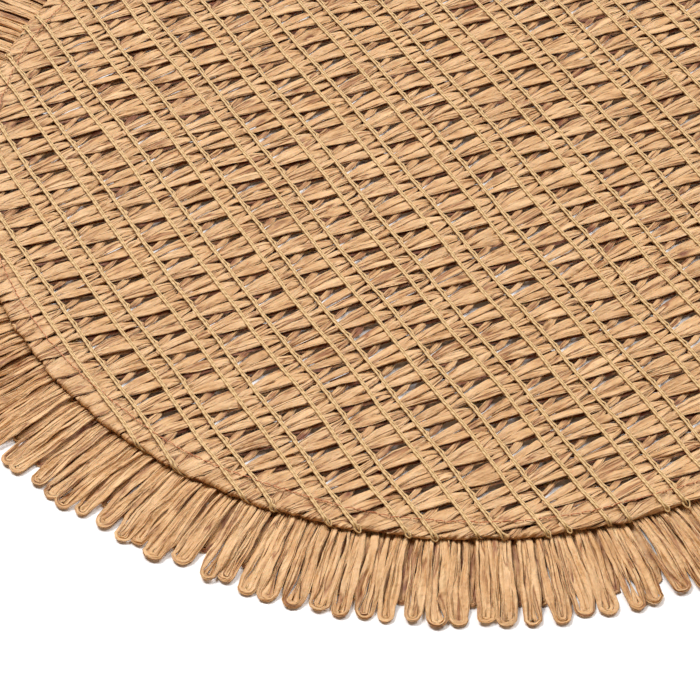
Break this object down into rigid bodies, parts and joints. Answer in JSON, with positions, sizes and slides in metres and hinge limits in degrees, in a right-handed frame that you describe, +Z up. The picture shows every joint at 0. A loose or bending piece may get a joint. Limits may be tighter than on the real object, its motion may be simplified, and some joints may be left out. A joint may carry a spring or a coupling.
{
  "type": "round fringed placemat",
  "caption": "Round open-weave placemat of flat paper string, with a turned hem and a fringe of flattened paper loops round its rim.",
  "frame": {"origin": "centre of the underside, at the level of the table", "axes": "+Z up, away from the table; -Y towards the front edge; the chain stitches run at 30.3 degrees to Y, from the back left to the front right"},
  "size_m": [0.379, 0.3794, 0.0037],
  "materials": {
    "paper_string": "matt flat paper string, creased along its length",
    "fringe_paper": "matt paper string in flattened loops, a little darker in its creases",
    "chain_thread": "soft sheen, straw yellow chain-stitch thread",
    "hem_thread": "matt, reddish brown sewing thread"
  },
  "bodies": {
    "root": {"mat_cloth": "paper_string", "loop_fringe": "fringe_paper"}
  },
  "joints": []
}
